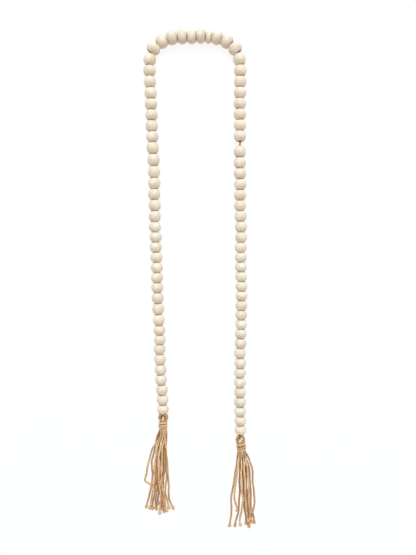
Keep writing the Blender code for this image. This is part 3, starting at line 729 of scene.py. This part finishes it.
def twine_tree():
    """Lays plies round each line, and puts stray fibres on them, most of them where it is frayed."""
    lengths = dict.fromkeys(("Lay", "Step", "Hair", "Tip hair"), "Float")
    sockets = {"Section": "Object", **lengths, "Seed": "Int", "Jute": "Material"}
    tree, given, result = node_tree("plied twine", sockets)
    seed = (given, "Seed")
    along, swell, fray, number = (
        add(tree, "GeometryNodeInputNamedAttribute", {}, {"Name": name})
        for name in ("along", "swell", "fray", "number")
    )
    ply_place, run = (
        add(tree, "GeometryNodeInputNamedAttribute", VECTOR, {"Name": name}) for name in ("ply_place", "run")
    )

    lines = add(tree, "GeometryNodeMeshToCurve", {}, {"Mesh": (given, "Geometry")})
    spaced = {"Curve": lines, "Length": (given, "Step")}
    even = add(tree, "GeometryNodeResampleCurve", {"mode": "LENGTH"}, spaced)
    turns = number_math(tree, "DIVIDE", along, (given, "Lay"))
    phase = number_math(tree, "MULTIPLY_ADD", number, TURN_APART, turns)
    angle = number_math(tree, "MULTIPLY", phase, 2 * math.pi)
    twisted = add(tree, "GeometryNodeSetCurveTilt", {}, {"Curve": even, "Tilt": angle})
    tangent = {"Geometry": twisted, "Name": "run", "Value": add(tree, "GeometryNodeInputTangent")}
    marked = add(tree, "GeometryNodeStoreNamedAttribute", VECTOR, tangent)
    shape = add(tree, "GeometryNodeObjectInfo", {}, {"Object": (given, "Section")})
    section = add(tree, "GeometryNodeMeshToCurve", {}, {"Mesh": (shape, "Geometry")})
    swept = {"Curve": marked, "Profile Curve": section, "Scale": swell, "Fill Caps": True}
    twine = add(tree, "GeometryNodeCurveToMesh", {}, swept)

    # Plies twist one way and their fibres the other, so fibres run nearly straight down the twine.
    slant = number_math(tree, "MULTIPLY", angle, FIBRE_UNTWIST)
    untwisted = {"Vector": ply_place, "Angle": slant}
    turned = add(tree, "ShaderNodeVectorRotate", {"rotation_type": "Z_AXIS"}, untwisted)
    far = number_math(tree, "MULTIPLY", along, 1 / MM)
    apart = number_math(tree, "MULTIPLY_ADD", number, GRAIN_APART, far)
    lengthwise = add(tree, "ShaderNodeCombineXYZ", {}, {"Z": apart})
    place = vector_math(tree, "ADD", turned, lengthwise)
    kept = {"Geometry": twine, "Name": "fibre_place", "Value": place}
    twine = add(tree, "GeometryNodeStoreNamedAttribute", VECTOR, kept)
    twine = add(tree, "GeometryNodeSetShadeSmooth", {}, {"Geometry": twine})

    # One stray fibre: a thin bent sliver
    curve = {end: Vector(share) * FIBRE_LENGTH * MM for end, share in FIBRE_CURVE.items()}
    bend = add(tree, "GeometryNodeCurveQuadraticBezier", {}, {"Resolution": 3, **curve})
    ring = {"Resolution": 3, "Radius": FIBRE_RADIUS * MM}
    thin = add(tree, "GeometryNodeCurvePrimitiveCircle", {}, ring)
    down = (add(tree, "GeometryNodeSplineParameter"), "Factor")
    taper = mapped(tree, down, after=(1.0, FIBRE_TAPER))
    swept = {"Curve": bend, "Profile Curve": thin, "Scale": taper, "Fill Caps": True}
    sliver = add(tree, "GeometryNodeCurveToMesh", {}, swept)

    density = mapped(tree, fray, after=((given, "Hair"), (given, "Tip hair")))
    sown = {"Mesh": twine, "Density": density, "Seed": seed}
    roots = add(tree, "GeometryNodeDistributePointsOnFaces", {}, sown)
    spread = {"Min": (-FIBRE_STRAY,) * 3, "Max": (FIBRE_STRAY,) * 3, "Seed": seed}
    out = vector_math(tree, "SCALE", (roots, "Normal"), FIBRE_OUT)
    stray = add(tree, "FunctionNodeRandomValue", VECTOR, spread)
    aim = vector_math(tree, "ADD", run, out)
    aim = vector_math(tree, "ADD", aim, stray)
    lean = add(tree, "FunctionNodeAlignRotationToVector", {"axis": "Z"}, {"Vector": aim})
    scattered = {
        "Points": (roots, "Points"),
        "Instance": sliver,
        "Rotation": random_roll(tree, lean, seed),
        "Scale": add(tree, "FunctionNodeRandomValue", {}, {**FIBRE_SIZES, "Seed": seed}),
    }
    fibres = add(tree, "GeometryNodeInstanceOnPoints", {}, scattered)
    both = add(tree, "GeometryNodeJoinGeometry")
    for source in (fibres, twine):
        fill(tree, both, {"Geometry": source})
    real = add(tree, "GeometryNodeRealizeInstances", {}, {"Geometry": both})

    # Fibres that would dip under the surface lie on it.
    at = add(tree, "ShaderNodeSeparateXYZ", {}, {"Vector": add(tree, "GeometryNodeInputPosition")})
    above = number_math(tree, "MAXIMUM", (at, "Z"), FIBRE_RADIUS * MM)
    rested = add(tree, "ShaderNodeCombineXYZ", {}, {"X": (at, "X"), "Y": (at, "Y"), "Z": above})
    lying = add(tree, "GeometryNodeSetPosition", {}, {"Geometry": real, "Position": rested})
    coloured = add(tree, "GeometryNodeSetMaterial", {}, {"Geometry": lying, "Material": (given, "Jute")})
    fill(tree, result, {"Geometry": coloured})
    return tree


def twine_section(width, sides):
    """Outline across a twine: three round plies that touch, each with so many sides."""
    places = []
    for i in range(PLIES * sides):
        angle = 2 * math.pi * i / (PLIES * sides)
        aside = (angle + math.pi / PLIES) % (2 * math.pi / PLIES) - math.pi / PLIES
        inner = PLY_OFFSET * math.cos(aside)
        radius = width * (inner + math.sqrt(PLY_RADIUS**2 - (PLY_OFFSET * math.sin(aside)) ** 2))
        places.append(Vector((radius * math.cos(angle), radius * math.sin(angle), 0.0)))
    edges = [(i, (i + 1) % len(places)) for i in range(len(places))]
    return new_object("section", attribute_mesh("section", places, edges, {"ply_place": places}))


def twine_piece(name, tree, jute, kind, lines, seed):
    """A piece of one or more twines. A line is a list of rows: place, swell, fray and shade."""
    sort = dict(zip(TWINE_COLUMNS, TWINES[kind]))
    section = twine_section(sort["width"], sort["sides"])
    places, edges = [], []
    fields = {"along": [], "swell": [], "fray": [], "number": [], "shade": []}
    for number, line in enumerate(lines):
        far = 0.0
        for i, (place, swell, fray, shade) in enumerate(line):
            if i:
                far += (place - places[-1]).length
                edges.append((len(places) - 1, len(places)))
            places.append(place)
            for field, value in zip(fields, (far * MM, swell, fray, number, shade)):
                fields[field].append(float(value))
    obj = new_object(name, attribute_mesh(name, places, edges, fields))
    sizes = {
        "Section": section,
        "Lay": sort["lay"] * MM,
        "Step": sort["step"] * MM,
        "Hair": sort["hair"] / MM**2,
        "Tip hair": TIP_HAIR / MM**2,
        "Seed": seed,
        "Jute": jute[kind],
    }
    grow(obj, tree, sizes)
    bpy.data.objects.remove(section, do_unlink=True)
    return obj


def make_stringing_twine(route, tree, jute):
    start, end = KNOT_TO_TWINE, route[1][-1] - KNOT_TO_TWINE
    points = [point_along(route, start + (end - start) * i / TWINE_ROWS) for i in range(TWINE_ROWS + 1)]
    line = [(point, 1.0, 0.0, TWINE_SHADE) for point in points]
    obj = twine_piece("twine", tree, jute, "stringing", [line], TWINE_SEED)
    place_piece(obj, ["cord"])


def tassel_point(tassel, along, across, height):
    """A point down the tassel's head and neck, which may lean to one side."""
    x, y = tassel["head_top"]
    sine, cosine = math.sin(tassel["lean"]), math.cos(tassel["lean"])
    return Vector((x + along * sine + across * cosine, y - along * cosine + across * sine, height))


def skirt_point(tassel, along, across, height):
    """A point in the skirt, which hangs straight down from the binding's lower edge."""
    top = tassel_point(tassel, tassel["binding"][1], 0.0, 0.0)
    return Vector((top.x + across, top.y - along, height))


def strand_route(tassel, row):
    """Places of one strand's middle: out of the head, through the neck and down the skirt."""
    points = []
    for along, reach, rise, height in tassel["head"]:
        closing = ramp(along / tassel["binding"][0], NECK_CLOSES, 1.0)
        angle = math.radians(LOWEST + row["turn"] * (1.0 + (NECK_SPREAD - 1.0) * closing))
        across = reach * math.cos(angle)
        points.append(tassel_point(tassel, along, across, height + rise * math.sin(angle)))
    low = STRAND_WIDTH / 2
    for number, (across, level) in enumerate(zip(row["across"], row["level"])):
        along = tassel["first_station"] + number * STATION_STEP
        points.append(skirt_point(tassel, along, across, low + LEVEL_STEP * level))
    last = row["level"][-1] if row["level"][-1] >= 1 else 0.0
    for across, along in row["tail"]:
        points.append(skirt_point(tassel, along, across, low + LEVEL_STEP * last))
    return points


def strand_line(tassel, row, draws):
    """Rows along a strand, which wanders a little and ends in a brushed tip, paler than the rest."""
    curve, reach = smooth_line(strand_route(tassel, row), STRAND_STEPS)
    end = reach[-1]
    circle = 2 * math.pi
    waves = [(draws.uniform(0, circle), draws.uniform(*lengths), size) for lengths, size in WAVES]
    lift = draws.uniform(0, circle)
    covered = max(0.0, math.cos(math.radians(row["turn"]))) ** 2
    line = []
    for point, far in zip(curve, reach):
        aside = sum(size * math.sin(circle * far / length + start) for start, length, size in waves)
        rise = RISE * (1.0 + math.sin(circle * far / RISE_LENGTH + lift))
        place = point + ramp(far, HELD_END, FREE_START) * Vector((aside, 0.0, rise))
        swell = 1.0 + (between(TIP_SHAPE, end - far) - 1.0) * row.get("tip", 1.0)
        swell *= 1.0 - row["shade"] * between(NECK_PULL, far)
        fray = max(0.0, 1.0 - (end - far) / TIP_LENGTH)
        paler = STRAND_SHADES * math.sin(circle * far / SHADES_LENGTH + lift)
        alike = LOOSE_SHARE * ramp(far, LOOSE_START, LOOSE_END)
        # Painted shade on the low strands just below the binding, where the others lie over them
        deep = NECK_DARKER * covered * max(0.0, 1.0 - far / NECK_DARK_END)
        shade = row["shade"] + (LOOSE_SHADE - row["shade"]) * alike + paler - deep
        shade += (TIP_SHADE - shade) * fray
        # In the head: one shade, and beside the knot the painted shade of its recess
        if far < HEAD_SHADE_END:
            head = tassel["shade_beside_knot" if abs(row["turn"]) > BESIDE_KNOT else "head_shade"]
            shade = head + (shade - head) * (far / HEAD_SHADE_END) ** HEAD_SHADE_POWER
        line.append((place, swell, fray**FRAY_POWER, shade))
    return line


def make_strands(tassel, tree, jute):
    draws = random.Random(tassel["seed"])
    rows = [dict(zip(STRAND_COLUMNS, values)) for values in tassel["strands"]]
    lines = [strand_line(tassel, row, draws) for row in rows]
    name = f"tassel_{tassel['name']}"
    obj = twine_piece(f"{name}_strands", tree, jute, "strands", lines, tassel["seed"])
    place_piece(obj, [name])


def make_binding(tassel, tree, jute):
    """Turns of twine round the neck, which droop in the middle by other amounts from turn to turn."""
    start, end = tassel["binding"]
    half = BINDING_WIDTH / 2
    advancing = BINDING_TURNS - 2 * LEVEL_TURN
    pitch = (end - start - 2 * half) / advancing
    line = []
    for i in range(BINDING_ROWS + 1):
        turn = BINDING_TURNS * i / BINDING_ROWS
        angle = 2 * math.pi * turn + math.pi
        whole = min(len(tassel["binding_droop"]) - 1, int(turn))
        droop, shade = tassel["binding_droop"][whole], tassel["binding_shades"][whole]
        tucked = min(1.0, min(turn, BINDING_TURNS - turn) / TUCKED_TURN)
        reach = tassel["binding_reach"] - TUCK_DEPTH * (1.0 - tucked)
        top = max(0.0, math.sin(angle))
        along = start + half + pitch * min(max(turn - LEVEL_TURN, 0.0), advancing) + droop * top**2
        height = tassel["neck_height"] + reach * math.sin(angle)
        across = reach * math.cos(angle) + tassel["binding_drift"] * (along - start) / (end - start)
        line.append((tassel_point(tassel, along, across, height), 1.0, 0.0, shade))
    name = f"binding_{tassel['name']}"
    obj = twine_piece(f"{name}_turns", tree, jute, "binding", [line], BINDING_SEED + tassel["seed"])
    place_piece(obj, [name])


def make_knot(tassel, tree, jute):
    """A knot pulled tight, which shows as one turn of thick twine, with its ends below."""
    centre = tassel_point(tassel, tassel["knot_down"], 0.0, KNOT_HEIGHT)
    slant = math.radians(tassel["knot_slant"])
    run = Vector((math.cos(slant), math.sin(slant), 0.0))
    aside = Vector((-run.y, run.x, 0.0))
    line = []
    for i in range(KNOT_ROWS + 1):
        turn = i / KNOT_ROWS - 0.5
        angle = 2 * math.pi * turn + math.pi / 2
        out = KNOT_ADVANCE * KNOT_WIDTH * turn
        reach = math.sqrt((tassel["knot_reach"] - KNOT_WIDTH / 2) ** 2 - out**2)
        place = centre + aside * out + run * reach * math.cos(angle) + UP * reach * math.sin(angle)
        line.append((place, tassel["knot_swell"], 0.0, KNOT_SHADE))
    name = f"knot_{tassel['name']}"
    obj = twine_piece(f"{name}_loops", tree, jute, "knots", [line], KNOT_SEED + tassel["seed"])
    place_piece(obj, [name])


def shader_material(name):
    """A material, its tree, and the surface that it shows."""
    material = bpy.data.materials.new(name)
    material.use_nodes = True
    tree = material.node_tree
    tree.nodes.clear()
    surface = add(tree, "ShaderNodeBsdfPrincipled")
    add(tree, "ShaderNodeOutputMaterial", {}, {"Surface": surface})
    return material, tree, surface


def stretched_noises(tree, place, rows):
    """A noise for each row, which holds how fast it changes along each axis, and its detail."""
    noises = []
    for scales, detail in rows:
        spot = vector_math(tree, "MULTIPLY", place, scales)
        noises.append(add(tree, "ShaderNodeTexNoise", {}, {"Vector": spot, "Scale": 1.0, "Detail": detail}))
    return noises


def layered(tree, colour, layers):
    """The colour with other colours laid over it, each by its share."""
    for share, code in layers:
        colour = add(tree, "ShaderNodeMix", COLOURS, {"Factor": share, "A": colour, "B": linear(code)})
    return colour


def from_axis(tree, place):
    """How far this place lies from the middle of the hole or the twine."""
    return vector_math(tree, "LENGTH", vector_math(tree, "MULTIPLY", place, (1.0, 1.0, 0.0)))


def bare_sanded_wood():
    """Close-grained pale hardwood, turned and sanded, with no varnish: matte, with fine pores along
    the hole, faint rings where the tool went round, and warmer patches that differ from bead to bead."""
    material, tree, surface = shader_material("bare_sanded_wood")
    own, shift, tone, sawn_and_shade = (
        add(tree, "ShaderNodeAttribute", {"attribute_name": name})
        for name in ("grain_place", "grain_shift", "bead_tone", "end_grain")
    )
    place = vector_math(tree, "ADD", (own, "Vector"), (shift, "Vector"))

    # Patches 7 mm across, fibres 0.5 mm apart, and pores that are short dashes, all along the hole
    rows = (((0.14, 0.14, 0.1), 2.0), ((2.0, 2.0, 0.16), 3.0), ((3.2, 3.2, 0.45), 1.0))
    patches, fibres, pores = stretched_noises(tree, place, rows)
    warm = mapped(tree, patches, (0.46, 0.75))
    light = mapped(tree, patches, (0.5, 0.25))
    body = layered(tree, linear(PALE_WOOD), ((warm, WARM_WOOD), (light, LIGHT_WOOD)))

    # Growth rings 4 mm apart, and rings that the tool left, 0.8 mm apart
    spot = vector_math(tree, "MULTIPLY", place, (0.08, 0.03, 0.01))
    grown = {"Vector": spot, "Scale": 1.0, "Distortion": 3.0, "Detail": 2.0, "Detail Scale": 0.6}
    rings = add(tree, "ShaderNodeTexWave", {"bands_direction": "X"}, grown)
    streaks = add(tree, "ShaderNodeMix", {}, {"Factor": 0.35, "A": fibres, "B": (rings, "Fac")})
    down = add(tree, "ShaderNodeSeparateXYZ", {}, {"Vector": place})
    tooled = {"W": (down, "Z"), "Scale": 1.3, "Detail": 1.0}
    turning = add(tree, "ShaderNodeTexNoise", {"noise_dimensions": "1D"}, tooled)
    pattern = add(tree, "ShaderNodeMix", {}, {"Factor": 0.4, "A": streaks, "B": turning})
    shade = mapped(tree, pattern, (0.3, 0.7), (0.95, 1.04))
    lighter = mapped(tree, (tone, "Fac"), after=(0.97, 1.03))
    body = vector_math(tree, "SCALE", body, number_math(tree, "MULTIPLY", shade, lighter))

    # Over these come the pores, the ends, brown from the saw and with painted shade where one bead meets
    # the next, and the bore with its lip, darker as end grain and with painted shade down the hole.
    pore = mapped(tree, pores, (0.68, 0.78), (0.0, 0.3))
    brown = mapped(tree, (sawn_and_shade, "Fac"), after=(0.0, 0.75))
    bore = mapped(tree, from_axis(tree, (own, "Vector")), (2.7, 2.1), (0.0, 0.8))
    body = layered(tree, body, ((pore, PORE_WOOD), (brown, SAWN_AND_SHADE_WOOD), (bore, BORE_WOOD)))

    rough = mapped(tree, pattern, after=(0.5, 0.66))
    bump = add(tree, "ShaderNodeBump", {}, {"Strength": 0.35, "Distance": 0.08 * MM, "Height": pattern})
    finish = {"Base Color": body, "Roughness": rough, "IOR": 1.5, "Specular IOR Level": 0.9, "Normal": bump}
    fill(tree, surface, finish)
    return material


def plied_jute(kind):
    """Jute yarn, spun and plied: dry and matte, with streaky fibres of many browns, lighter brushed
    tips, and painted shade in the grooves between the plies, where hardly any light gets."""
    sort = dict(zip(TWINE_COLUMNS, TWINES[kind]))
    material, tree, surface = shader_material(f"plied_jute_{kind}")
    place, fray, strand = (
        add(tree, "ShaderNodeAttribute", {"attribute_name": name})
        for name in ("fibre_place", "fray", "shade")
    )

    # Fibre bundles 0.3 mm across and 4 mm long, and darker and lighter stretches about 12 mm long
    rows = (((3.4, 3.4, 0.25), 3.0), ((0.3, 0.3, 0.08), 1.0))
    fibres, stretches = stretched_noises(tree, (place, "Vector"), rows)
    both = add(tree, "ShaderNodeMix", {}, {"Factor": 0.3, "A": fibres, "B": stretches})
    dark = mapped(tree, both, (0.5, 0.3))
    light = mapped(tree, both, (0.5, 0.68))
    tipped = mapped(tree, (fray, "Fac"), after=(0.0, 0.6))
    # A strand that is darker, with darker jute and with painted shade where it lies low, is browner too, and
    # the palest are nearly straw.
    straw = mapped(tree, (strand, "Fac"), (0.5, 1.0), (0.0, 0.5))
    layers = (
        (dark, JUTE_DARK),
        (light, JUTE_LIGHT),
        (sort["paleness"], JUTE_LIGHT),
        (tipped, JUTE_FRAYED),
        (straw, JUTE_LIGHT),
    )
    body = layered(tree, linear(JUTE_MIDDLE), layers)
    # Lit and shaded jute by the strand's shade: its own tone, with painted shade on low strands
    bright = mapped(tree, (strand, "Fac"), after=(SHADED_SHARE, 1.0), settings={"clamp": False})
    tones = {"Factor": bright, "A": linear(JUTE_SHADED), "B": linear(JUTE_LIT)}
    tone = add(tree, "ShaderNodeMix", COLOURS, tones)
    body = vector_math(tree, "SCALE", vector_math(tree, "MULTIPLY", body, tone), sort["lightness"])

    # The section is narrowest between two plies, and widest on a ply. Painted shade darkens the groove
    # between two plies.
    radius = from_axis(tree, (place, "Vector"))
    ends = (GROOVE_START * sort["width"], GROOVE_END * sort["width"])
    smooth = {"interpolation_type": "SMOOTHSTEP"}
    groove = mapped(tree, radius, ends, (0.0, sort["groove"]), smooth)
    body = layered(tree, body, ((groove, JUTE_GROOVE_SHADE),))
    bump = add(tree, "ShaderNodeBump", {}, {"Strength": 0.5, "Distance": 0.1 * MM, "Height": fibres})
    finish = {"Base Color": body, "Roughness": 0.85, "Specular IOR Level": 0.25, "Normal": bump}
    fill(tree, surface, finish)
    return material


def make_floor():
    """A plain white floor that is partly lit through, so that shadows on it stay faint."""
    bpy.ops.mesh.primitive_plane_add(size=FLOOR_SIZE, location=(0.0, 0.0, -FLOOR_DROP * MM))
    floor = bpy.context.object
    floor.name = "floor"
    material, tree, surface = shader_material("white_floor")
    finish = {
        "Base Color": (0.12, 0.12, 0.12, 1.0),
        "Roughness": 1.0,
        "Specular IOR Level": 0.0,
        "Emission Color": (1.0, 1.0, 1.0, 1.0),
        "Emission Strength": 0.88,
    }
    fill(tree, surface, finish)
    floor.data.materials.append(material)


def make_light():
    """Softboxes that face the garland's middle. The backdrop is pale near the horizon, and a dim warm
    light further up."""
    scene = bpy.context.scene
    scene.view_settings.view_transform = "Standard"
    scene.world = bpy.data.worlds.new("studio")
    scene.world.use_nodes = True
    tree = scene.world.node_tree
    way = add(tree, "ShaderNodeTexCoord")
    height = add(tree, "ShaderNodeSeparateXYZ", {}, {"Vector": (way, "Generated")})
    above = mapped(tree, (height, "Z"), (PALE_END, WARM_START))
    sky = add(tree, "ShaderNodeMix", COLOURS, {"Factor": above, "A": PALE_BACKDROP, "B": WARM_BACKDROP})
    fill(tree, tree.nodes["Background"], {"Color": sky, "Strength": 1.0})
    for name, place, width, power, colour in SOFTBOXES:
        light = new_object(name, bpy.data.lights.new(name, "AREA"))
        light.data.size = width
        light.data.energy = power
        light.data.color = colour
        light.location = place
        light.rotation_euler = Vector(place).to_track_quat("Z", "Y").to_euler()


def main():
    make_camera()
    route = smooth_line(ROUTE, ROUTE_STEPS)
    tree = twine_tree()
    jute = {kind: plied_jute(kind) for kind in TWINES}
    make_stringing_twine(route, tree, jute)
    make_beads(route, bare_sanded_wood())
    for tassel in (LEFT_TASSEL, RIGHT_TASSEL):
        make_strands(tassel, tree, jute)
        make_binding(tassel, tree, jute)
        make_knot(tassel, tree, jute)
    make_floor()
    make_light()


main()
